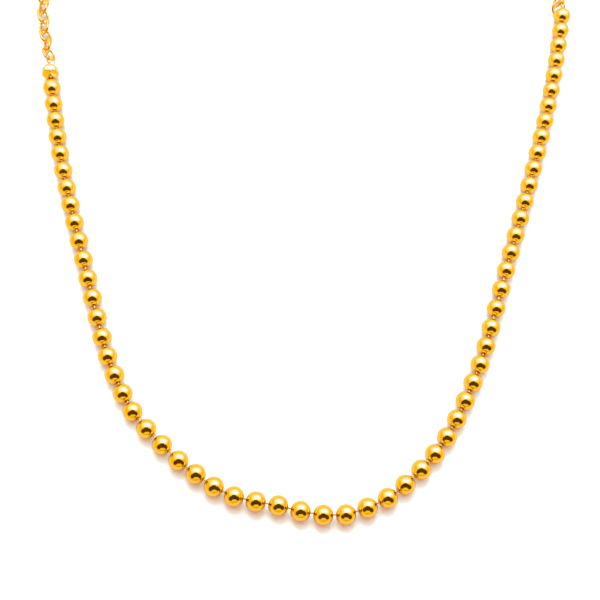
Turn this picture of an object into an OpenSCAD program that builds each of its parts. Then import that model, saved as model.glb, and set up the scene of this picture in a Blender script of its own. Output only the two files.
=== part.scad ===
// Ball chain necklace, closed and lying on a flat surface, in millimetres.
// The row of hollow balls lies in front, a cable chain of oval links closes the loop behind it,
// and a ring clasp joins the two halves of that chain at the back.
// +X is the wearer's left in front, +Y runs from the row to the clasp, Z is up from the surface.

/* [Necklace] */
// Length of the whole loop along its middle line, clasp included
necklace_length = 457; // [440:1:490]

/* [Balls] */
// Diameter of a plain ball
ball_d = 4; // [3.7:0.05:4.3]
// Gap between neighbouring balls, on average
ball_gap = 0.38; // [0.3:0.01:0.5]
// Number of plain balls in the row
ball_count = 61; // [51:1:65]
// Wall of a hollow ball
ball_wall = 0.3; // [0.2:0.02:0.36]
// Hole at each end of a ball, and through the cut bead
ball_hole_d = 1; // [0.96:0.02:1.04]

/* [Pins] */
// Wire of the pins that join the balls
pin_d = 0.4; // [0.3:0.02:0.44]
// Head on each end of a pin, caught inside its ball
pin_head_d = 1.3; // [1.24:0.02:1.36]
// Play of a pin's head before it meets its ball
pin_play = 0.22; // [0.2:0.02:0.3]

/* [Cut bead] */
// Diameter of the cut bead
cut_bead_d = 4; // [3.7:0.05:4.3]
// Length of the cut bead between its flat ends
cut_bead_length = 3.5; // [3.2:0.05:3.6]
// Depth of each hollow cut
cut_depth = 0.29; // [0.2:0.01:0.34]
// Radius of the wheel that makes the cuts
cut_wheel_r = 1.5; // [1.2:0.05:3]
// Number of cuts round the bead in each of the three rings
cut_count = 5; // [4:1:6]
// Slope of the outer rings of cuts, towards the bead's ends
cut_slope = 34; // [30:1:40]

/* [Eye pins] */
// Middle radius of an eye's round end
eye_r = 0.62; // [0.58:0.01:0.7]
// Length from an eye's foot to the middle of its round end
eye_reach = 1.7; // [1.5:0.05:2]
// Ball of solder at an eye's foot
eye_foot_d = 0.6; // [0.5:0.02:0.7]
// Space between an eye's foot and the ball or bead that it leaves
eye_stand = 0.25; // [0.2:0.01:0.35]
// How much slimmer an eye's two legs are than the wire of its round end
eye_slim = 0.06; // [0.04:0.01:0.1]

/* [Rings] */
// Outer diameter of a jump ring
ring_d = 3.7; // [3.5:0.05:4]
// Wire of a jump ring
ring_wire_d = 0.55; // [0.45:0.01:0.58]

/* [Chain] */
// Outer length of a link
link_length = 4.2; // [4:0.05:4.5]
// Outer width of a link
link_width = 3.4; // [3.2:0.05:3.6]
// Wire of a link
link_wire_d = 0.6; // [0.5:0.01:0.64]
// Play between two links, rings or eyes that hang in each other
link_play = 0.14; // [0.1:0.01:0.2]
// Roll of the links about the chain, left and right in turn
link_roll = 47; // [44:1:50]

/* [Clasp] */
// Outer diameter of the clasp's ring
clasp_d = 7; // [6.5:0.1:8]
// Wire of the clasp's ring
clasp_wire_d = 1.3; // [1.1:0.05:1.5]
// Outer diameter of the clasp's small eye
clasp_eye_d = 3.2; // [3:0.05:3.5]
// Wire of the clasp's small eye
clasp_eye_wire_d = 0.7; // [0.6:0.02:0.76]

/* [Hidden] */
$fn = 48;
gold = [0.95, 0.68, 0.2];
pale_gold = [0.98, 0.76, 0.32];
over = 1;  // how far a cutting tool runs past what it cuts

// Middle line of the loop, seen from above, from the middle of the row round by the wearer's left
route = [
    [9, -78], [14, -75.5], [20.5, -70], [26.5, -62.5], [33, -50], [37, -39.5], [41.5, -26.5],
    [46, -14], [51.5, 2], [56, 16.5], [59.5, 30], [62, 42], [62.5, 53.5], [57, 64], [48.5, 71],
    [35.5, 76.5], [18, 79.5], [-2, 79.5], [-22.5, 76.5], [-40.5, 70.5], [-55, 60.5], [-62, 50],
    [-62.5, 38], [-60, 24.5], [-58.5, 15.5], [-56, 1.5], [-53, -11], [-49, -25.5], [-44.5, -41.5],
    [-42, -49], [-38.5, -56.5], [-35, -61.5], [-28.5, -68], [-25.5, -70.5], [-20.5, -74],
    [-16, -76], [-8.5, -77.5], [-2.5, -79], [3.5, -79.5]
];
// Where the row is drawn together or apart: place in the row from -1 to 1, shift in shares of the gap
row_play = [
    [-1, -0.4], [-0.73, -1.9], [-0.53, -0.3], [-0.4, -1.6], [-0.3, -0.5], [-0.17, -1.2],
    [0.1, -0.7], [0.37, -2.9], [0.47, -1], [1, -1.5]
];
route_steps = 12;  // samples between two points of the route

// Curve through the route's points, closed
function curve_at(i, t) = let (
    n = len(route), a = route[(i + n - 1) % n], b = route[i], c = route[(i + 1) % n], d = route[(i + 2) % n]
) (2 * b + (c - a) * t + (2 * a - 5 * b + 4 * c - d) * t * t + (3 * b - a - 3 * c + d) * t * t * t) / 2;
plain_curve = [
    for (i = [0:len(route) - 1]) for (k = [0:route_steps - 1]) curve_at(i, k / route_steps), route[0]
];
function lengths(points) = [
    for (i = 0, run = 0; i < len(points); i = i + 1, run = run + step(points, i)) run
];
function step(points, i) = i < len(points) ? norm(points[i] - points[i - 1]) : 0;
plain_run = lengths(plain_curve);
route_scale = necklace_length / plain_run[len(plain_run) - 1];
run_x = [for (i = [0:len(plain_run) - 1]) [plain_run[i], plain_curve[i][0]] * route_scale];
run_y = [for (i = [0:len(plain_run) - 1]) [plain_run[i], plain_curve[i][1]] * route_scale];

// The origin is under the middle of the whole loop, so the front and back reach equally far
all_x = [for (p = run_x) p[1]];
all_y = [for (p = run_y) p[1]];
middle = [
    (max(all_x) + min(all_x)) / 2,
    (max(all_y) + (clasp_d - clasp_wire_d) / 2 + min(all_y) - ball_d / 2) / 2
];
function wrap(s) = s - necklace_length * floor(s / necklace_length);
function route_at(s) = [lookup(wrap(s), run_x), lookup(wrap(s), run_y)] - middle;
function turn(a, b) = atan2(b[1] - a[1], b[0] - a[0]);
function high(p, z) = [p[0], p[1], z];

// The row of balls
row_pitch = ball_d + ball_gap;
function ball_place(i) = 2 * i / (ball_count - 1) - 1;
function ball_run(i) =
    ball_place(i) * (ball_count - 1) / 2 * row_pitch + ball_gap * lookup(ball_place(i), row_play);
balls_at = [for (i = [0:ball_count - 1]) route_at(ball_run(i))];
head_seat = sqrt(pow(ball_d / 2 - ball_wall, 2) - pow(ball_hole_d / 2, 2))
    - sqrt(pow(pin_head_d / 2, 2) - pow(ball_hole_d / 2, 2)) - pin_play;

// The two ends of the row, each with +X away from the row
left_turn = turn(balls_at[0], route_at(ball_run(0) - row_pitch));
right_turn = turn(balls_at[ball_count - 1], route_at(ball_run(ball_count - 1) + row_pitch));
bead_middle = ball_d / 2 + ball_gap + cut_bead_length / 2;
cut_bead_roll = 6;
left_foot = bead_middle + cut_bead_length / 2 + eye_stand;
right_foot = ball_d / 2 + eye_stand;
eye_leg_in = 0.08;  // how far an eye's legs run on inside its round end

// Rings: each hangs with the middle of its wire in the middle of its eye
ring_r = (ring_d - ring_wire_d) / 2;
ring_in = ring_d / 2 - ring_wire_d;
link_in = link_length / 2 - link_wire_d;
left_ring_dip = 10;
left_ring_middle = left_foot + eye_reach + ring_r * cos(left_ring_dip);
// The right ring has its low side on the surface beside the last ball and rises outwards to its eye
right_eye_at = [right_foot + eye_reach, 0, ball_d / 2];
right_ring_lie = 42.5;
right_ring_way = 26.5;
right_ring_up = [
    cos(right_ring_lie) * cos(right_ring_way), cos(right_ring_lie) * sin(right_ring_way), sin(right_ring_lie)
];
right_ring_across = [sin(right_ring_way), -cos(right_ring_way), 0];
right_ring_half = ring_r * sin(right_ring_lie);
right_eye_share = (ball_d / 2 - ring_wire_d / 2 - right_ring_half) / right_ring_half;
right_ring_at = right_eye_at
    - ring_r * (right_eye_share * right_ring_up + sqrt(1 - pow(right_eye_share, 2)) * right_ring_across);
right_eye_roll = 120;
// The first link of the right chain hangs on the ring's high side, beyond the eye and to its left
right_first_at = right_eye_at + [0.84, 0.97, -0.22];

// The clasp leans so that its axis is as high as the chain's
function link_height(roll) = (link_width - link_wire_d) / 2 * sin(roll) + link_wire_d / 2;
chain_height = link_height(link_roll);
clasp_run = necklace_length / 2;
clasp_lean = asin((chain_height - clasp_wire_d / 2) / ((clasp_d - clasp_wire_d) / 2));
clasp_eye_sunk = 0.7;  // share of the small eye's wire that is inside the big ring's
clasp_eye_at = clasp_d / 2 + clasp_eye_d / 2 - clasp_eye_wire_d * clasp_eye_sunk;

// The two halves of the chain. The left one has an odd number of links and the right one an even number,
// so that both have the same roll at the clasp while each first link rolls as its own ring needs.
first_roll = 62;
link_pitch_most = 2 * link_in - link_play;
function link_count(from, to, odd) = 2 * ceil(((to - from) / link_pitch_most - odd) / 2) + odd + 1;
right_from = ball_run(ball_count - 1) + right_first_at[0];
right_to = clasp_run - (clasp_d / 2 - clasp_wire_d + link_in - link_play);
right_count = link_count(right_from, right_to, 1);
left_from = ball_run(0) - (left_ring_middle + ring_in + link_in - link_play);
left_to = clasp_run - necklace_length
    + clasp_eye_at + clasp_eye_d / 2 - clasp_eye_wire_d + link_in - link_play;
left_count = link_count(left_to, left_from, 0);
fade = 5;  // links over which the right chain comes back to the middle line

function chain_at(from, to, count, aside, first_height) = [
    for (i = [0:count - 1]) let (
        s = from + (to - from) * i / (count - 1),
        way = turn(route_at(s - 1), route_at(s + 1)),
        off = aside * max(0, 1 - i / fade)
    ) high(route_at(s) + off * [-sin(way), cos(way)], i == 0 ? first_height : chain_height)
];
right_chain_at = chain_at(right_from, right_to, right_count, right_first_at[1], right_first_at[2]);
left_chain_at = chain_at(left_from, left_to, left_count, 0, link_height(first_roll));

// Puts what lies along +X at a place, turned about Z, dipped at its front and rolled about itself
module put(at, turned = 0, dipped = 0, rolled = 0) {
    translate(at) rotate([0, 0, turned]) rotate([0, dipped, 0]) rotate([rolled, 0, 0]) children();
}

// Puts what lies along +X between two points in space
module lay(a, b, rolled = 0) {
    d = b - a;
    put((a + b) / 2, atan2(d[1], d[0]), -atan2(d[2], norm([d[0], d[1]])), rolled) children();
}

module rod(d, length) {
    rotate([0, 90, 0]) cylinder(d = d, h = length, center = true);
}

// Round end of a wire that runs along +X
module head(d) {
    rotate([0, 90, 0]) sphere(d = d);
}

module ring(outer, wire) {
    rotate_extrude() translate([(outer - wire) / 2, 0]) circle(d = wire);
}

// Oval link: two half rings joined by two straight sides
module link() {
    straight = link_length - link_width;
    for (end = [0, 180]) rotate([0, 0, end]) {
        translate([straight / 2, 0, 0]) rotate([0, 0, -90]) rotate_extrude(angle = 180)
            translate([(link_width - link_wire_d) / 2, 0]) circle(d = link_wire_d);
        translate([0, (link_width - link_wire_d) / 2, 0]) rod(link_wire_d, straight);
    }
}

// Hollow ball with a hole at each end
module ball() {
    rotate([0, 90, 0]) rotate_extrude() difference() {
        circle(d = ball_d);
        circle(d = ball_d - 2 * ball_wall);
        translate([-ball_d, -ball_d]) square([ball_d + ball_hole_d / 2, 2 * ball_d]);
    }
}

module balls() {
    color(gold) for (i = [0:ball_count - 1]) {
        s = ball_run(i);
        put(high(balls_at[i], ball_d / 2), turn(route_at(s - row_pitch), route_at(s + row_pitch))) ball();
    }
}

// Pin with a round head in each of two neighbouring balls
module pin(length) {
    rod(pin_d, length);
    for (side = [-1, 1]) translate([side * length / 2, 0, 0]) head(pin_head_d);
}

module pins() {
    color(gold) for (i = [0:ball_count - 2]) {
        a = high(balls_at[i], ball_d / 2);
        b = high(balls_at[i + 1], ball_d / 2);
        lay(a, b) pin(norm(b - a) - 2 * head_seat);
    }
}

// One hollow cut across the side that faces +Z
module hollow_cut() {
    translate([0, 0, cut_bead_d / 2 - cut_depth + cut_wheel_r])
        rotate([90, 0, 0]) cylinder(r = cut_wheel_r, h = cut_bead_d, center = true);
}

// Short bead with three rings of hollow cuts that cross in an X
module cut_bead() {
    color(pale_gold) put(high(balls_at[0], ball_d / 2), left_turn, 0, cut_bead_roll)
        translate([bead_middle, 0, 0]) difference() {
            intersection() {
                sphere(d = cut_bead_d);
                rod(cut_bead_d + over, cut_bead_length);
            }
            rod(ball_hole_d, cut_bead_d + over);
            for (i = [0:cut_count - 1]) {
                rotate([360 * i / cut_count, 0, 0]) hollow_cut();
                for (end = [-1, 1])
                    rotate([360 * (i + 0.5) / cut_count, 0, 0]) rotate([0, end * cut_slope, 0]) hollow_cut();
            }
        }
}

// Eye pin along +X: a head caught in the end ball, a shank and a drop-shaped eye
module eye_pin(foot) {
    lean = asin(eye_r / eye_reach);
    leg = eye_reach * cos(lean) + eye_leg_in;
    translate([head_seat, 0, 0]) head(pin_head_d);
    translate([(head_seat + foot) / 2, 0, 0]) rod(pin_d, foot - head_seat);
    translate([foot, 0, 0]) {
        head(eye_foot_d);
        for (side = [-1, 1]) rotate([0, 0, side * lean])
            translate([leg / 2, 0, 0]) rod(pin_d - eye_slim, leg);
        translate([eye_reach, 0, 0]) rotate([0, 0, -90 - lean]) rotate_extrude(angle = 180 + 2 * lean)
            translate([eye_r, 0]) circle(d = pin_d);
    }
}

module eye_pin_left() {
    color(gold) put(high(balls_at[0], ball_d / 2), left_turn, 0, link_roll - 90) eye_pin(left_foot);
}

module eye_pin_right() {
    color(gold) put(high(balls_at[ball_count - 1], ball_d / 2), right_turn, 0, right_eye_roll)
        eye_pin(right_foot);
}

module ring_left() {
    color(gold) put(high(balls_at[0], 0), left_turn)
        put([left_ring_middle, 0, ball_d / 2 - ring_r * sin(left_ring_dip)], 0, left_ring_dip, link_roll)
            ring(ring_d, ring_wire_d);
}

module ring_right() {
    color(gold) put(high(balls_at[ball_count - 1], 0), right_turn)
        put(right_ring_at, right_ring_way + 180, right_ring_lie) ring(ring_d, ring_wire_d);
}

// Links along a list of middles, rolled left and right in turn; each lies along its neighbours' line
module chain(at, first_way) {
    for (i = [0:len(at) - 1]) {
        a = at[max(i - 1, 0)];
        b = at[min(i + 1, len(at) - 1)];
        roll = (i == 0 ? first_roll : link_roll) * (i % 2 == 0 ? first_way : -first_way);
        translate(at[i] - (a + b) / 2) lay(a, b, roll) link();
    }
}

module chain_left() {
    color(gold) chain(left_chain_at, -1);
}

module chain_right() {
    color(gold) chain(right_chain_at, -1);
}

module clasp() {
    clasp_turn = turn(route_at(clasp_run - 1), route_at(clasp_run + 1));
    color(gold) put(high(route_at(clasp_run), chain_height), clasp_turn, 0, -clasp_lean) {
        ring(clasp_d, clasp_wire_d);
        translate([clasp_eye_at, 0, 0]) ring(clasp_eye_d, clasp_eye_wire_d);
    }
}

balls();
pins();
cut_bead();
eye_pin_left();
eye_pin_right();
ring_left();
ring_right();
chain_left();
chain_right();
clasp();
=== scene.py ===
# Ball chain necklace lying on a white table, seen from above and in front.
# Lengths in the dictionaries are millimetres; mm turns them into metres.
import math

import bpy
import bmesh
import numpy as np
from mathutils import Matrix, Vector


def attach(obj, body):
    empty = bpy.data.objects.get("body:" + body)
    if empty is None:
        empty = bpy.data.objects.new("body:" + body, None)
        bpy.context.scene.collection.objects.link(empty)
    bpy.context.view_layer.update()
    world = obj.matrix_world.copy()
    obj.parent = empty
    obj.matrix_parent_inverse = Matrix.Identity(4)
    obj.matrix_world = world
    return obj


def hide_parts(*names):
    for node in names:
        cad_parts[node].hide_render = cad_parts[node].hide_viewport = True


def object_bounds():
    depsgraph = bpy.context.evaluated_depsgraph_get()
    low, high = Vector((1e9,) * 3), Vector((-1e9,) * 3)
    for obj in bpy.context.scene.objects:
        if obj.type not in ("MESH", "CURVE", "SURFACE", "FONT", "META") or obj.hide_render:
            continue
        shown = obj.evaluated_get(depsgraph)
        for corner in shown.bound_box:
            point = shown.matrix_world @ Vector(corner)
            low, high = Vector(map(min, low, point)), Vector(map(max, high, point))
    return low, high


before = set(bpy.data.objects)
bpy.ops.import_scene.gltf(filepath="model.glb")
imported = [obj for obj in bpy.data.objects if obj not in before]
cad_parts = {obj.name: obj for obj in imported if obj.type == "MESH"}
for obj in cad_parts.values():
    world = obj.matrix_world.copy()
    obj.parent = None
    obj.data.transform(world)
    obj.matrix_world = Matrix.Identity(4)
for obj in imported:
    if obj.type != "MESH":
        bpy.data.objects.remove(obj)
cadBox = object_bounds()
mm = 0.001
samePlace = 1e-7  # metres; points closer than this are one
print("frame loaded:", len(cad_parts), "nodes")


def solidsOf(node):
    # Splits a node into its loose solids. Corners at one place count as one point, and each point takes the
    # lowest number among the points of its triangles, over and over, until a whole solid has one number.
    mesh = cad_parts[node].data
    mesh.calc_loop_triangles()
    corners = np.empty(len(mesh.vertices) * 3, np.float32)
    mesh.vertices.foreach_get("co", corners)
    corners = corners.reshape(-1, 3).astype(float)
    tris = np.empty(len(mesh.loop_triangles) * 3, np.int32)
    mesh.loop_triangles.foreach_get("vertices", tris)
    tris = tris.reshape(-1, 3)
    _, same = np.unique(np.round(corners / samePlace).astype(np.int64), axis=0, return_inverse=True)
    tris = same.reshape(-1)[tris]
    places = np.zeros((same.max() + 1, 3))
    places[same.reshape(-1)] = corners
    label = np.arange(len(places))
    while True:
        low = label[tris].min(axis=1)
        new = label.copy()
        for side in range(3):
            np.minimum.at(new, tris[:, side], low)
        new = new[new]
        if (new == label).all():
            break
        label = new
    owner = label[tris[:, 0]]
    return [places[tris[owner == number]] for number in np.unique(owner)]


def axesOf(tris, keep=None):
    # Middle of a solid's surface and its three own directions, longest spread first, each triangle
    # counting with its area.
    area = np.linalg.norm(np.cross(tris[:, 1] - tris[:, 0], tris[:, 2] - tris[:, 0]), axis=1)
    spots = tris.mean(axis=1)
    if keep is not None:
        area = area * keep(spots)
    middle = (spots * area[:, None]).sum(axis=0) / area.sum()
    spread = ((spots - middle).T * area) @ (spots - middle)
    ways = np.linalg.eigh(spread)[1][:, ::-1].T
    return middle, ways


def boxMiddle(tris):
    corners = tris.reshape(-1, 3)
    return (corners.min(axis=0) + corners.max(axis=0)) / 2


def unit(way):
    return way / np.linalg.norm(way, axis=-1, keepdims=True)


def meshFrom(name, grids, material, closed=(True, True)):
    # One mesh from grids of points shaped (copies, rows, columns, 3). Rows and columns that are closed
    # join their last line to their first.
    points, faces, start = [], [], 0
    for grid in grids:
        copies, rows, columns, _ = grid.shape
        number = start + np.arange(copies * rows * columns).reshape(copies, rows, columns)
        rowsOn = np.concatenate([number, number[:, :1]], axis=1) if closed[0] else number
        allOn = np.concatenate([rowsOn, rowsOn[:, :, :1]], axis=2) if closed[1] else rowsOn
        quads = np.stack([allOn[:, :-1, :-1], allOn[:, 1:, :-1], allOn[:, 1:, 1:], allOn[:, :-1, 1:]],
                         axis=-1)
        faces.append(quads.reshape(-1, 4))
        points.append(grid.reshape(-1, 3))
        start += copies * rows * columns
    points = np.concatenate(points)
    faces = np.concatenate(faces)
    mesh = bpy.data.meshes.new(name)
    mesh.vertices.add(len(points))
    mesh.vertices.foreach_set("co", points.astype(np.float32).ravel())
    mesh.loops.add(faces.size)
    mesh.loops.foreach_set("vertex_index", faces.astype(np.int32).ravel())
    mesh.polygons.add(len(faces))
    mesh.polygons.foreach_set("loop_start", np.arange(0, faces.size, 4, dtype=np.int32))
    mesh.update(calc_edges=True)
    # doubled points at poles are merged, and every face is turned outwards
    work = bmesh.new()
    work.from_mesh(mesh)
    bmesh.ops.remove_doubles(work, verts=work.verts, dist=samePlace)
    bmesh.ops.recalc_face_normals(work, faces=work.faces)
    work.to_mesh(mesh)
    work.free()
    mesh.polygons.foreach_set("use_smooth", np.ones(len(mesh.polygons), bool))
    mesh.validate()
    piece = bpy.data.objects.new(name, mesh)
    bpy.context.scene.collection.objects.link(piece)
    mesh.materials.append(material)
    return piece


def standFor(piece, node):
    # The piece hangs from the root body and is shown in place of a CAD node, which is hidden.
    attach(piece, "root")
    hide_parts(node)


def lathe(profile, middles, ways, sides):
    # Turns a profile of (along, out) pairs about each way through each middle: point = middle
    # + along * way + out * (cos a * left + sin a * up) for a going round.
    ways = unit(np.asarray(ways))
    left = unit(np.cross([0, 0, 1.0], ways))
    up = np.cross(ways, left)
    angle = np.arange(sides) * 2 * np.pi / sides
    ring = left[:, None] * np.cos(angle)[None, :, None] + up[:, None] * np.sin(angle)[None, :, None]
    along, out = profile[:, 0], profile[:, 1]
    return (np.asarray(middles)[:, None, None] + along[None, :, None, None] * ways[:, None, None]
            + out[None, :, None, None] * ring[:, None])


def wireAlong(path, radius, sides, across):
    # Carries a circle along closed paths shaped (copies, points, 3): point = path + radius
    # * (cos a * side + sin a * across), where side is square to the path and to the fixed way across.
    run = unit(np.roll(path, -1, axis=1) - np.roll(path, 1, axis=1))
    across = np.broadcast_to(across[:, None], path.shape)
    side = unit(np.cross(run, across))
    angle = np.arange(sides) * 2 * np.pi / sides
    return (path[:, :, None] + radius * (side[:, :, None] * np.cos(angle)[:, None]
                                         + across[:, :, None] * np.sin(angle)[:, None]))


def arc(middle, radius, start, end, count):
    # count points on a circle about middle, from the angle start to end in degrees
    turn = np.radians(np.linspace(start, end, count))
    return np.stack([middle[0] + radius * np.cos(turn), middle[1] + radius * np.sin(turn)], axis=1)


def smoothStep(nodes, span, atLow=0, atHigh=1):
    # goes softly from atLow to atHigh over the span
    step = nodes.new("ShaderNodeMapRange")
    step.interpolation_type = "SMOOTHSTEP"
    for label, value in (("From Min", span[0]), ("From Max", span[1]), ("To Min", atLow), ("To Max", atHigh)):
        step.inputs[label].default_value = value
    return step


def mathNode(nodes, operation, second=None):
    node = nodes.new("ShaderNodeMath")
    node.operation = operation
    if second is not None:
        node.inputs[1].default_value = second
    return node


def vectorNode(nodes, operation, second=None):
    node = nodes.new("ShaderNodeVectorMath")
    node.operation = operation
    if second is not None:
        node.inputs[1].default_value = second
    return node


def colourMix(nodes, first=None, second=None):
    mix = nodes.new("ShaderNodeMix")
    mix.data_type = "RGBA"
    for label, colour in (("A", first), ("B", second)):
        if colour is not None:
            mix.inputs[label].default_value = colour
    return mix


# Polish marks and the three gold finishes; cloud and line sizes are noise scales per metre
marksSize = dict(cloudDetail=3, lineDetail=4, lineSpread=(0.35, 0.7), lineShare=0.25)
paleGold = (1.0, 0.63, 0.08, 1)


def polishGroup():
    # What polishing leaves on a metal: faint clouds in the colour, and fine waves and lines in the surface.
    group = bpy.data.node_groups.new("polish marks", "ShaderNodeTree")
    for label, kind, value in (("Colour", "NodeSocketColor", (1, 0.5, 0.02, 1)),
                               ("Deep colour", "NodeSocketColor", (0.9, 0.36, 0.01, 1)),
                               ("Cloud size", "NodeSocketFloat", 300.0),
                               ("Line size", "NodeSocketFloat", 2500.0),
                               ("Smooth", "NodeSocketFloat", 0.04),
                               ("Rough", "NodeSocketFloat", 0.09)):
        group.interface.new_socket(name=label, in_out="INPUT", socket_type=kind).default_value = value
    for label, kind in (("Colour", "NodeSocketColor"), ("Roughness", "NodeSocketFloat"),
                        ("Height", "NodeSocketFloat")):
        group.interface.new_socket(name=label, in_out="OUTPUT", socket_type=kind)
    nodes, links = group.nodes, group.links
    inside = nodes.new("NodeGroupInput")
    outside = nodes.new("NodeGroupOutput")
    place = nodes.new("ShaderNodeTexCoord")
    clouds = nodes.new("ShaderNodeTexNoise")
    clouds.inputs["Detail"].default_value = marksSize["cloudDetail"]
    lines = nodes.new("ShaderNodeTexNoise")
    lines.inputs["Detail"].default_value = marksSize["lineDetail"]
    tint = colourMix(nodes)
    gloss = nodes.new("ShaderNodeMapRange")
    gloss.inputs["From Min"].default_value, gloss.inputs["From Max"].default_value = marksSize["lineSpread"]
    height = mathNode(nodes, "MULTIPLY_ADD", marksSize["lineShare"])
    for a, b in ((place.outputs["Object"], clouds.inputs["Vector"]),
                 (place.outputs["Object"], lines.inputs["Vector"]),
                 (inside.outputs["Cloud size"], clouds.inputs["Scale"]),
                 (inside.outputs["Line size"], lines.inputs["Scale"]),
                 (clouds.outputs["Fac"], tint.inputs["Factor"]),
                 (inside.outputs["Colour"], tint.inputs["A"]),
                 (inside.outputs["Deep colour"], tint.inputs["B"]),
                 (lines.outputs["Fac"], gloss.inputs["Value"]),
                 (inside.outputs["Smooth"], gloss.inputs["To Min"]),
                 (inside.outputs["Rough"], gloss.inputs["To Max"]),
                 (lines.outputs["Fac"], height.inputs[0]),
                 (clouds.outputs["Fac"], height.inputs[2]),
                 (tint.outputs["Result"], outside.inputs["Colour"]),
                 (gloss.outputs["Result"], outside.inputs["Roughness"]),
                 (height.outputs["Value"], outside.inputs["Height"])):
        links.new(a, b)
    return group


polishMarks = polishGroup()


def goldFinish(name, values):
    # Gold plate: bare metal whose colour, roughness and height come from the polish marks. Gold seen in gold
    # is pale gold, so that a reflection of a reflection doesn't turn red.
    material = bpy.data.materials.new(name)
    material.use_nodes = True
    nodes, links = material.node_tree.nodes, material.node_tree.links
    shader = nodes["Principled BSDF"]
    shader.inputs["Metallic"].default_value = 1.0
    marks = nodes.new("ShaderNodeGroup")
    marks.node_tree = polishMarks
    for label, key in (("Colour", "colour"), ("Deep colour", "deepColour"), ("Cloud size", "cloudSize"),
                       ("Line size", "lineSize"), ("Smooth", "smooth"), ("Rough", "rough")):
        marks.inputs[label].default_value = values[key]
    bump = nodes.new("ShaderNodeBump")
    bump.inputs["Strength"].default_value = values["bump"]
    bump.inputs["Distance"].default_value = values["bumpDepth"] * mm
    path = nodes.new("ShaderNodeLightPath")
    seen = colourMix(nodes, second=paleGold)
    links.new(path.outputs["Is Glossy Ray"], seen.inputs["Factor"])
    links.new(marks.outputs["Colour"], seen.inputs["A"])
    links.new(seen.outputs["Result"], shader.inputs["Base Color"])
    links.new(marks.outputs["Roughness"], shader.inputs["Roughness"])
    links.new(marks.outputs["Height"], bump.inputs["Height"])
    links.new(bump.outputs["Normal"], shader.inputs["Normal"])
    return material


ballGold = goldFinish("ball gold", dict(
    colour=(1.0, 0.54, 0.068, 1), deepColour=(0.98, 0.49, 0.05, 1), cloudSize=260.0, lineSize=2600.0,
    smooth=0.01, rough=0.035, bump=0.2, bumpDepth=0.004))
wireGold = goldFinish("wire gold", dict(
    colour=(1.0, 0.52, 0.05, 1), deepColour=(0.96, 0.45, 0.03, 1), cloudSize=500.0, lineSize=3600.0,
    smooth=0.10, rough=0.2, bump=0.3, bumpDepth=0.01))
cutGold = goldFinish("cut gold", dict(
    colour=(1.0, 0.58, 0.12, 1), deepColour=(1.0, 0.52, 0.08, 1), cloudSize=400.0, lineSize=3200.0,
    smooth=0.02, rough=0.06, bump=0.2, bumpDepth=0.006))
print("finishes made")


# Balls: hollow, with a rounded lip at each hole
ballSize = dict(diameter=3.99, wall=0.3, hole=1.0, lip=0.1, sides=40, outerRows=26, lipRows=4, innerRows=6)


def ballProfile(size):
    # Closed outline of a ball's wall: the outer arc from hole to hole, a lip, the inner arc back, a lip.
    # A lip's circle touches the outer arc and the hole: sin(start) = (hole + lip) / (outer - lip).
    outer, hole, lip = size["diameter"] / 2, size["hole"] / 2, size["lip"]
    inner = outer - size["wall"]
    start = math.degrees(math.asin((hole + lip) / (outer - lip)))
    innerStart = math.degrees(math.asin(hole / inner))
    lipAlong = math.sqrt((outer - lip) ** 2 - (hole + lip) ** 2)
    nearLip = arc((lipAlong, hole + lip), lip, -90, start, size["lipRows"])
    return np.concatenate([arc((0, 0), outer, start, 180 - start, size["outerRows"]),
                           nearLip[::-1][1:] * [-1, 1],
                           arc((0, 0), inner, 180 - innerStart, innerStart, size["innerRows"]),
                           nearLip[:-1]]) * mm


ballSolids = solidsOf("balls")
ballMiddles = np.array([boxMiddle(tris) for tris in ballSolids])
ballWays = np.array([axesOf(tris)[1][2] for tris in ballSolids])
balls = meshFrom("balls_polished", [lathe(ballProfile(ballSize), ballMiddles, ballWays, ballSize["sides"])],
                 ballGold)
standFor(balls, "balls")
print("balls:", len(ballMiddles))


# Pins between the balls: a wire with a round head inside each ball
pinSize = dict(wire=0.4, head=1.3, sides=14, headRows=8)


def pinProfile(length, size):
    # Half outline along the pin: head arc, wire, head arc; the arcs end where the wire leaves the head.
    wire, head = size["wire"] / 2, size["head"] / 2
    leave = math.degrees(math.asin(wire / head))
    near = arc((-length / 2 + head, 0), head, 180, leave, size["headRows"])
    near[0, 1] = 0
    return np.concatenate([near, near[::-1] * [-1, 1]]) * mm


pinGrids = []
for tris in solidsOf("pins"):
    middle, ways = axesOf(tris)
    along = (tris.reshape(-1, 3) - middle) @ ways[0]
    middle = middle + ways[0] * (along.max() + along.min()) / 2
    pinGrids.append(lathe(pinProfile((along.max() - along.min()) / mm, pinSize), [middle], [ways[0]],
                          pinSize["sides"]))
pins = meshFrom("pins_turned", pinGrids, wireGold, closed=(False, True))
standFor(pins, "pins")
print("pins:", len(pinGrids))


# Cut bead: a short ball with three rings of hollow cuts, so that its ridges cross in an X
beadSize = dict(diameter=4.0, length=3.5, hole=1.0, depth=0.29, wheel=1.5, cuts=5, slope=34.0, roll=6.0,
                ridge=0.035, sides=240, rows=170, boreRows=6)


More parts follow.
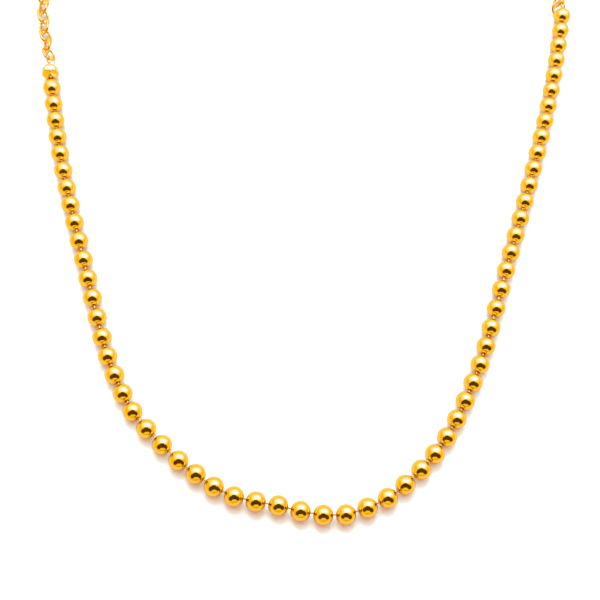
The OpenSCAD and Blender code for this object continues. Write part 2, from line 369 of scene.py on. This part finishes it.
def beadSurface(size):
    # Reach of the bead in each direction from its middle: the softened least of the ball's radius, the flat
    # ends' half length / |x| and, for each wheel cut, the nearer root of the line's meeting with the wheel,
    # or no end where it passes by. One ring of cuts runs round the middle, the two others lean to either side.
    ball, half, bore = size["diameter"] / 2, size["length"] / 2, size["hole"] / 2
    wheel, lift = size["wheel"], ball - size["depth"] + size["wheel"]
    edge = math.atan2(bore, half)
    polar = np.linspace(edge, math.pi - edge, size["rows"])[:, None]
    around = (np.arange(size["sides"]) * 2 * np.pi / size["sides"])[None, :]
    way = np.stack([np.cos(polar) + 0 * around, np.sin(polar) * np.sin(around),
                    np.sin(polar) * np.cos(around)], axis=-1)
    reach = [np.full(way.shape[:2], ball), half / np.maximum(np.abs(way[..., 0]), 1e-6)]
    for slope, shift in ((0, 0), (size["slope"], 0.5), (-size["slope"], 0.5)):
        for number in range(size["cuts"]):
            turn = math.radians(360 * (number + shift) / size["cuts"] + size["roll"])
            tilt = math.radians(slope)
            outwards = way[..., 2] * math.cos(turn) - way[..., 1] * math.sin(turn)
            along = way[..., 0] * math.cos(tilt) - outwards * math.sin(tilt)
            up = outwards * math.cos(tilt) + way[..., 0] * math.sin(tilt)
            square = along ** 2 + up ** 2
            inside = (up * lift) ** 2 - square * (lift ** 2 - wheel ** 2)
            root = (up * lift - np.sqrt(np.maximum(inside, 0))) / np.maximum(square, 1e-9)
            reach.append(np.where((inside > 0) & (up > 0), root, np.inf))
    reach = np.array(reach)
    least = reach.min(axis=0)
    soft = least - size["ridge"] * np.log(np.exp(-(reach - least) / size["ridge"]).sum(axis=0))
    soft[[0, -1]] = math.hypot(half, bore)
    outer = way * soft[..., None]
    along = np.linspace(-half, half, size["boreRows"] + 2)[1:-1, None]
    boreWall = np.stack([along + 0 * around, bore * np.sin(around) + 0 * along,
                         bore * np.cos(around) + 0 * along], axis=-1)
    return np.concatenate([outer, boreWall]) * mm


beadMiddle = axesOf(solidsOf("cut_bead")[0])[0]
firstBall = ballMiddles[np.linalg.norm(ballMiddles - beadMiddle, axis=1).argmin()]
beadWay = unit((beadMiddle - firstBall) * [1, 1, 0])
beadSide = np.cross([0, 0, 1.0], beadWay)
beadGrid = beadSurface(beadSize) @ np.stack([beadWay, beadSide, [0, 0, 1.0]]) + beadMiddle
cutBead = meshFrom("cut_bead_faceted", [beadGrid[None]], cutGold)
standFor(cutBead, "cut_bead")
print("cut bead at", np.round(beadMiddle / mm, 2))


# Eye pins: head, shank and foot turned in one, then a drop-shaped eye
eyeSize = dict(wire=0.4, leg=0.34, head=1.3, foot=0.6, round=0.62, reach=1.7, thickFrom=0.6, thickOver=0.35,
               sides=14, roundPoints=28, legPoints=9, headPoints=10, footPoints=9)


def eyeProfile(shank, size):
    # Half outline: head arc, wire to the foot, foot arc; shank is the length from head to foot middle.
    wire, head, foot = size["wire"] / 2, size["head"] / 2, size["foot"] / 2
    near = arc((0, 0), head, 180, math.degrees(math.asin(wire / head)), size["headPoints"])
    far = arc((shank, 0), foot, 180 - math.degrees(math.asin(wire / foot)), 0, size["footPoints"])
    near[0, 1] = far[-1, 1] = 0
    return np.concatenate([near, far]) * mm


def eyePath(size):
    # Drop in the eye's own plane: two straight legs from the foot that touch a circle at reach. The legs are
    # thinner, and grow to the wire's full thickness near the circle.
    lean = math.asin(size["round"] / size["reach"])
    leg = size["reach"] * math.cos(lean) * np.array([math.cos(lean), math.sin(lean)])
    up = np.linspace(0, 1, size["legPoints"])[:-1, None] * leg
    bend = math.degrees(lean) + 90
    bow = arc((size["reach"], 0), size["round"], bend, -bend, size["roundPoints"])
    path = np.concatenate([up, bow, up[:0:-1] * [1, -1]])
    wide = np.clip((path[:, 0] / size["reach"] - size["thickFrom"]) / size["thickOver"], 0, 1)
    return path * mm, (size["leg"] + (size["wire"] - size["leg"]) * wide) / 2 * mm


def eyePin(node):
    # The head is at the end nearest a ball, and the eye lies square to its own thinnest direction.
    tris = solidsOf(node)[0]
    middle, ways = axesOf(tris)
    way = ways[0]
    along = (tris.reshape(-1, 3) - middle) @ way
    ends = [middle + way * along.min(), middle + way * along.max()]
    near = [np.linalg.norm(ballMiddles - end, axis=1).min() for end in ends]
    if near[1] < near[0]:
        way, ends = -way, ends[::-1]
    headAt = ends[0] + way * eyeSize["head"] / 2 * mm
    roundAt = ends[1] - way * (eyeSize["round"] + eyeSize["wire"] / 2) * mm
    footAt = roundAt - way * eyeSize["reach"] * mm
    beyond = axesOf(tris, lambda spots: (spots - footAt) @ way > eyeSize["foot"] * mm)[1]
    normal = unit(beyond[2] - way * (beyond[2] @ way))
    side = np.cross(normal, way)
    path, radius = eyePath(eyeSize)
    drop = footAt + path[:, :1] * way + path[:, 1:] * side
    turned = lathe(eyeProfile(np.linalg.norm(footAt - headAt) / mm, eyeSize), [headAt], [way],
                   eyeSize["sides"])
    return [turned], [wireAlong(drop[None], radius[None, :, None, None], eyeSize["sides"], normal[None])]


for name, node in (("eye_left", "eye_pin_left"), ("eye_right", "eye_pin_right")):
    turned, drop = eyePin(node)
    shank = meshFrom(name + "_shank", turned, wireGold, closed=(False, True))
    eye = meshFrom(name + "_drop", drop, wireGold)
    standFor(shank, node)
    standFor(eye, node)
print("eye pins made")


# Jump rings, chain links and clasp: round wire along closed flat paths
ringSize = dict(diameter=3.7, wire=0.55, points=60, sides=16)
linkSize = dict(length=4.2, width=3.4, wire=0.6, arcPoints=18, straightPoints=3, sides=14)
claspSize = dict(diameter=7.0, wire=1.3, eye=3.2, eyeWire=0.7, sunk=0.7, points=72, sides=20)


def flatRing(middles, ways, sides, outer, wire, points):
    # circle about each middle in the plane of its two ways
    turn = np.arange(points) * 2 * np.pi / points
    radius = (outer - wire) / 2 * mm
    return (np.asarray(middles)[:, None] + radius * (np.cos(turn)[:, None] * np.asarray(ways)[:, None]
                                                    + np.sin(turn)[:, None] * np.asarray(sides)[:, None]))


def linkPath(size):
    # Racetrack: two half circles of the wire's middle radius joined by straights.
    straight, radius = (size["length"] - size["width"]) / 2, (size["width"] - size["wire"]) / 2
    cap = arc((straight, 0), radius, -90, 90, size["arcPoints"])
    side = np.linspace(straight, -straight, size["straightPoints"] + 2)[1:-1, None] * [1, 0] + [0, radius]
    return np.concatenate([cap, side, -cap, -side]) * mm


for name, node in (("ring_left_wire", "ring_left"), ("ring_right_wire", "ring_right")):
    middle, ways = axesOf(solidsOf(node)[0])
    path = flatRing([middle], [ways[0]], [ways[1]], ringSize["diameter"], ringSize["wire"],
                    ringSize["points"])
    ring = meshFrom(name, [wireAlong(path, ringSize["wire"] / 2 * mm, ringSize["sides"], ways[2][None])],
                    wireGold)
    standFor(ring, node)
print("rings made")

for name, node in (("links_left", "chain_left"), ("links_right", "chain_right")):
    found = [axesOf(tris) for tris in solidsOf(node)]
    middles = np.array([middle for middle, ways in found])
    ways = np.array([ways for middle, ways in found])
    path = linkPath(linkSize)
    path = middles[:, None] + path[:, :1] * ways[:, None, 0] + path[:, 1:] * ways[:, None, 1]
    wires = wireAlong(path, linkSize["wire"] / 2 * mm, linkSize["sides"], ways[:, 2])
    standFor(meshFrom(name, [wires], wireGold), node)
    print(name, "links:", len(middles))

claspTris = solidsOf("clasp")[0]
middle, ways = axesOf(claspTris)
spots = (claspTris.reshape(-1, 3) - middle) @ ways.T
wideEnd = 1 if spots[spots[:, 0] > 0][:, 1].max() > spots[spots[:, 0] < 0][:, 1].max() else -1
bigAt = middle + wideEnd * ways[0] * ((wideEnd * spots[:, 0]).max() - claspSize["diameter"] / 2 * mm)
smallAt = bigAt - wideEnd * ways[0] * mm * (claspSize["diameter"] / 2 + claspSize["eye"] / 2
                                           - claspSize["eyeWire"] * claspSize["sunk"])
claspGrids = []
for place, outer, wire in ((bigAt, claspSize["diameter"], claspSize["wire"]),
                           (smallAt, claspSize["eye"], claspSize["eyeWire"])):
    path = flatRing([place], [ways[0]], [ways[1]], outer, wire, claspSize["points"])
    claspGrids.append(wireAlong(path, wire / 2 * mm, claspSize["sides"], ways[2][None]))
clasp = meshFrom("clasp_ring", claspGrids, wireGold)
standFor(clasp, "clasp")
print("clasp made")


# Stage: a white table under a pale tent, a lamp behind, and a painted dark reflection over the camera's side:
# a dim orange glow that the balls show as a dark arch. Tent, lamp card, dark reflection and the pale patch, a
# painted reflection within the arch, are seen in the metal alone, and the table is lit by the room and the
# lamp.
stageSize = dict(
    floor=6.0, floorColour=(0.85, 0.85, 0.85, 1), floorInMetal=(0.64, 0.55, 0.5, 1), floorRough=0.9,
    floorShine=0.1,
    lampAt=(-10, 104, 175), lampWide=110, lampHigh=60, lampColour=(0.5, 1, 3, 1), lampShine=4.0,
    lampFar=5.0, lampWatts=7.0, lampTint=(0.65, 0.92, 1.0),
    # painted dark reflection: where its ovals, arms and flap stand, and its dim orange glow
    darkReflectionAt=(-15, -137, 210), darkReflectionWide=240, darkReflectionHigh=182, darkReflectionRows=20, darkReflectionSides=24,
    armHigh=170, armFrom=0.3, armOver=60, leftEnd=(-215, -262, 110), rightEnd=(280, -295, 78),
    flapAt=(-10, -169, 121), flapFacing=(0, 0.867, 0.498), flapWide=230, flapHigh=125,
    darkReflectionColour=(1, 0.6, 0.1, 1), darkShine=0.1,
    # painted pale reflection: where the pale patch stands, and its glow
    patchAt=(-30, -255, 152), patchAim=(0, -85, -100), patchWide=330, patchHigh=92,
    patchColour=(0.87, 1, 0.45, 1), patchShine=1.12, cardSides=40,
    roomWay=(0.0, 0.8, 0.6), roomFade=(0.25, 1.0), roomFront=(0.97, 0.46, 0.235, 1),
    roomBack=(2.2, 3.6, 4.0, 1), backdrop=(1, 1, 1, 1))
tentSize = dict(
    middle=(-14, -10, 0), radius=330, rows=40, sides=64, squeeze=(0.6, 1, 1), shift=0.07,
    brightWay=(0.2, 0.44, 0.875),
    frontFade=(-0.25, -0.02), lowFade=(0.08, 0.2), sideFade=(0.74, 0.94), edgeFade=(0.1, 0.4), edgeDip=0.4,
    brightest=20.0, sideColour=(0.97, 0.92, 0.07), edgeColour=(0.68, 0.66, 0.04))
tentStops = [(0.5, (1.0, 1.2, 1.2)), (0.7, (1.05, 1.4, 2.2)), (0.8, (1.1, 1.55, 3.6)),
             (0.86, (1.1, 1.65, 4.8)), (0.9, (1.15, 1.72, 6.8)), (0.93, (1.2, 1.8, 9.6)),
             (0.96, (1.3, 1.9, 14.5)), (1.0, (1.5, 2.0, 20.0))]


def onlyInMetal(card):
    card.visible_camera = card.visible_diffuse = card.visible_shadow = False
    card.visible_transmission = card.visible_volume_scatter = False


def flatCard(name, place, aim, wide, high, material, corners):
    # Flat oval about its place that faces the aim, its long side level, with corners at
    # (cos a * wide / 2, sin a * high / 2).
    ahead = unit(np.array(aim, float) - place)
    across = unit(np.cross([0, 0, 1.0], ahead))
    up = np.cross(ahead, across)
    turn = (np.arange(corners) + 0.5) * 2 * np.pi / corners
    edge = (np.array(place, float) + (wide * np.cos(turn)[:, None] * across
                                      + high * np.sin(turn)[:, None] * up) / 2) * mm
    mesh = bpy.data.meshes.new(name)
    mesh.from_pydata(edge.tolist(), [], [tuple(range(corners))])
    card = bpy.data.objects.new(name, mesh)
    bpy.context.scene.collection.objects.link(card)
    mesh.materials.append(material)
    onlyInMetal(card)


def glow(name, colour, strength):
    material = bpy.data.materials.new(name)
    material.use_nodes = True
    nodes = material.node_tree.nodes
    nodes.clear()
    shader = nodes.new("ShaderNodeEmission")
    shader.inputs["Color"].default_value = colour
    shader.inputs["Strength"].default_value = strength
    out = nodes.new("ShaderNodeOutputMaterial")
    material.node_tree.links.new(shader.outputs["Emission"], out.inputs["Surface"])
    return material


def tableFinish(size):
    # matt white paper, lit brighter than the metal shows it
    material = bpy.data.materials.new("white table")
    material.use_nodes = True
    nodes, links = material.node_tree.nodes, material.node_tree.links
    shader = nodes["Principled BSDF"]
    path = nodes.new("ShaderNodeLightPath")
    paper = colourMix(nodes, size["floorColour"], size["floorInMetal"])
    links.new(path.outputs["Is Glossy Ray"], paper.inputs["Factor"])
    links.new(paper.outputs["Result"], shader.inputs["Base Color"])
    shader.inputs["Roughness"].default_value = size["floorRough"]
    shader.inputs["Specular IOR Level"].default_value = size["floorShine"]
    return material


def tentFinish(size, stops):
    # Glow by place on the tent, in the colours that the metal is to show. The roof is a ramp over the cosine
    # to the brightest way, wider sideways than to front and back; it ends in front, at the sides and low down,
    # and a darker band runs along the table. Colours are divided by the brightest one, and the glow's strength
    # puts that back.
    material = bpy.data.materials.new("tent")
    material.use_nodes = True
    nodes, links = material.node_tree.nodes, material.node_tree.links
    nodes.clear()
    place = nodes.new("ShaderNodeTexCoord")
    fromMiddle = vectorNode(nodes, "SUBTRACT", Vector(size["middle"]) * mm)
    way = vectorNode(nodes, "NORMALIZE")
    squeezed = vectorNode(nodes, "MULTIPLY", size["squeeze"])
    wide = vectorNode(nodes, "NORMALIZE")
    towards = vectorNode(nodes, "DOT_PRODUCT", size["brightWay"])
    parts = nodes.new("ShaderNodeSeparateXYZ")
    ramp = nodes.new("ShaderNodeValToRGB")
    while len(ramp.color_ramp.elements) < len(stops):
        ramp.color_ramp.elements.new(0.5)
    for stop, (spot, colour) in zip(ramp.color_ramp.elements, stops):
        stop.position = spot
        stop.color = [part / size["brightest"] for part in colour] + [1]
    masks = []
    for key, atLow, atHigh in (("frontFade", 0, 1), ("lowFade", 0, 1), ("sideFade", 1, 0),
                               ("edgeFade", 1, 0)):
        masks.append(smoothStep(nodes, size[key], atLow, atHigh))
    front, low, side, edge = masks
    shifted = mathNode(nodes, "SUBTRACT", size["shift"])
    aside = mathNode(nodes, "ABSOLUTE")
    edgeTop = mathNode(nodes, "MULTIPLY_ADD", size["edgeDip"])  # the band is lower at the sides
    both = mathNode(nodes, "MULTIPLY")
    within = mathNode(nodes, "MULTIPLY")
    outer = colourMix(nodes, *([part / size["brightest"] for part in size[key]] + [1]
                               for key in ("sideColour", "edgeColour")))
    roof = colourMix(nodes)
    shader = nodes.new("ShaderNodeEmission")
    shader.inputs["Strength"].default_value = size["brightest"]
    out = nodes.new("ShaderNodeOutputMaterial")
    for a, b in ((place.outputs["Object"], fromMiddle.inputs[0]),
                 (fromMiddle.outputs["Vector"], way.inputs[0]),
                 (way.outputs["Vector"], squeezed.inputs[0]),
                 (squeezed.outputs["Vector"], wide.inputs[0]),
                 (wide.outputs["Vector"], towards.inputs[0]),
                 (way.outputs["Vector"], parts.inputs["Vector"]),
                 (towards.outputs["Value"], ramp.inputs["Fac"]),
                 (parts.outputs["X"], shifted.inputs[0]),
                 (shifted.outputs["Value"], aside.inputs[0]),
                 (parts.outputs["Y"], front.inputs["Value"]),
                 (parts.outputs["Z"], low.inputs["Value"]),
                 (aside.outputs["Value"], side.inputs["Value"]),
                 (aside.outputs["Value"], edgeTop.inputs[0]),
                 (parts.outputs["Z"], edgeTop.inputs[2]),
                 (edgeTop.outputs["Value"], edge.inputs["Value"]),
                 (front.outputs["Result"], both.inputs[0]),
                 (low.outputs["Result"], both.inputs[1]),
                 (both.outputs["Value"], within.inputs[0]),
                 (side.outputs["Result"], within.inputs[1]),
                 (edge.outputs["Result"], outer.inputs["Factor"]),
                 (within.outputs["Value"], roof.inputs["Factor"]),
                 (outer.outputs["Result"], roof.inputs["A"]),
                 (ramp.outputs["Color"], roof.inputs["B"]),
                 (roof.outputs["Result"], shader.inputs["Color"]),
                 (shader.outputs["Emission"], out.inputs["Surface"])):
        links.new(a, b)
    return material


def tentSurface(size):
    # Upper half of a ball: middle + radius * (sin p cos a, sin p sin a, cos p), p from the top to the table.
    polar = np.linspace(0, math.pi / 2, size["rows"])[:, None]
    turn = (np.arange(size["sides"]) * 2 * np.pi / size["sides"])[None, :]
    way = np.stack([np.sin(polar) * np.cos(turn), np.sin(polar) * np.sin(turn), np.cos(polar) + 0 * turn],
                   axis=-1)
    return (size["middle"] + size["radius"] * way)[None] * mm


half = stageSize["floor"] / 2
top = cadBox[0][2]
floorMesh = bpy.data.meshes.new("table")
floorMesh.from_pydata([(-half, -half, top), (half, -half, top), (half, half, top), (-half, half, top)],
                      [], [(0, 1, 2, 3)])
floor = bpy.data.objects.new("table", floorMesh)
bpy.context.scene.collection.objects.link(floor)
floorMesh.materials.append(tableFinish(stageSize))

# painted dark reflection, a dim glow that the metal alone shows: a long oval over the camera, a slanted oval
# from each of its ends down to the side, and a flap
darkReflectionAt = np.array(stageSize["darkReflectionAt"], float)
oval = arc((0, 0), 0.5, 180, 0, stageSize["darkReflectionRows"])
ovals = [lathe(oval * [stageSize["darkReflectionWide"], stageSize["darkReflectionHigh"]] * mm, [darkReflectionAt * mm], [[1.0, 0, 0]],
               stageSize["darkReflectionSides"])]
for side, end in ((-1, stageSize["leftEnd"]), (1, stageSize["rightEnd"])):
    start = darkReflectionAt + [side * stageSize["darkReflectionWide"] * stageSize["armFrom"], 0, 0]
    ovals.append(lathe(oval * [np.linalg.norm(end - start) + stageSize["armOver"], stageSize["armHigh"]] * mm,
                       [(start + end) / 2 * mm], [end - start], stageSize["darkReflectionSides"]))
# the dark arch in the balls is painted: a dim orange glow seen only in the metal
paintedDarkReflection = glow("painted dark reflection", stageSize["darkReflectionColour"], stageSize["darkShine"])
onlyInMetal(meshFrom("painted_dark_reflection", ovals, paintedDarkReflection, closed=(False, True)))
flatCard("painted_dark_flap", stageSize["flapAt"], np.add(stageSize["flapAt"], stageSize["flapFacing"]),
         stageSize["flapWide"], stageSize["flapHigh"], paintedDarkReflection, stageSize["cardSides"])
# pale patch: a painted reflection, a glow seen only in the metal
flatCard("pale_patch", stageSize["patchAt"], stageSize["patchAim"], stageSize["patchWide"],
         stageSize["patchHigh"], glow("pale patch", stageSize["patchColour"], stageSize["patchShine"]),
         stageSize["cardSides"])
flatCard("lamp_shine", stageSize["lampAt"], (0, 0, 0), stageSize["lampWide"], stageSize["lampHigh"],
         glow("lamp", stageSize["lampColour"], stageSize["lampShine"]), stageSize["cardSides"])
onlyInMetal(meshFrom("tent", [tentSurface(tentSize)], tentFinish(tentSize, tentStops), closed=(False, True)))

# room light: dim and warm in front, bright and cool behind, so a shadow's core is warm and its edge is grey
world = bpy.data.worlds.new("room")
bpy.context.scene.world = world
world.use_nodes = True
roomNodes, roomLinks = world.node_tree.nodes, world.node_tree.links
direction = roomNodes.new("ShaderNodeTexCoord")
towards = vectorNode(roomNodes, "DOT_PRODUCT", stageSize["roomWay"])
fade = smoothStep(roomNodes, stageSize["roomFade"])
light = colourMix(roomNodes, stageSize["roomFront"], stageSize["roomBack"])
backdrop = roomNodes.new("ShaderNodeBackground")  # what a camera sees past the table
backdrop.inputs["Color"].default_value = stageSize["backdrop"]
path = roomNodes.new("ShaderNodeLightPath")
either = roomNodes.new("ShaderNodeMixShader")
for a, b in ((direction.outputs["Generated"], towards.inputs[0]),
             (towards.outputs["Value"], fade.inputs["Value"]),
             (fade.outputs["Result"], light.inputs["Factor"]),
             (light.outputs["Result"], roomNodes["Background"].inputs["Color"]),
             (path.outputs["Is Camera Ray"], either.inputs["Fac"]),
             (roomNodes["Background"].outputs["Background"], either.inputs[1]),
             (backdrop.outputs["Background"], either.inputs[2]),
             (either.outputs["Shader"], roomNodes["World Output"].inputs["Surface"])):
    roomLinks.new(a, b)

lampData = bpy.data.lights.new("lamp", "AREA")
lampData.shape = "RECTANGLE"
lampData.size = stageSize["lampWide"] * stageSize["lampFar"] * mm
lampData.size_y = stageSize["lampHigh"] * stageSize["lampFar"] * mm
lampData.energy = stageSize["lampWatts"]
lampData.color = stageSize["lampTint"]
lamp = bpy.data.objects.new("lamp", lampData)
bpy.context.scene.collection.objects.link(lamp)
lampAt = Vector(stageSize["lampAt"]) * stageSize["lampFar"] * mm
lamp.matrix_world = (Matrix.Translation(lampAt)
                     @ (-lampAt).to_track_quat("-Z", "Y").to_matrix().to_4x4())
lamp.visible_camera = lamp.visible_glossy = False
print("stage made")


# Camera: the photograph's place, aim and slight roll
cameraSize = dict(place=(-14.0, -105.09, 180.63), aim=(-3.39, -35.0, 0.0), roll=8.02, lens=55.085,
                  sensor=36, nearest=1)
cameraData = bpy.data.cameras.new("camera")
cameraData.sensor_width = cameraSize["sensor"]
cameraData.lens = cameraSize["lens"]
cameraData.clip_start = cameraSize["nearest"] * mm
camera = bpy.data.objects.new("camera", cameraData)
bpy.context.scene.collection.objects.link(camera)
ahead = unit(np.array(cameraSize["aim"]) - cameraSize["place"])
level = unit(np.cross(ahead, [0, 0, 1.0]))
roll = math.radians(cameraSize["roll"])
right = level * math.cos(roll) + np.cross(level, ahead) * math.sin(roll)
turn = Matrix(np.stack([right, np.cross(-ahead, right), -ahead], axis=1).tolist()).to_4x4()
camera.matrix_world = Matrix.Translation(Vector(cameraSize["place"]) * mm) @ turn
bpy.context.scene.camera = camera
bpy.context.scene.view_settings.view_transform = "Standard"
print("camera set")
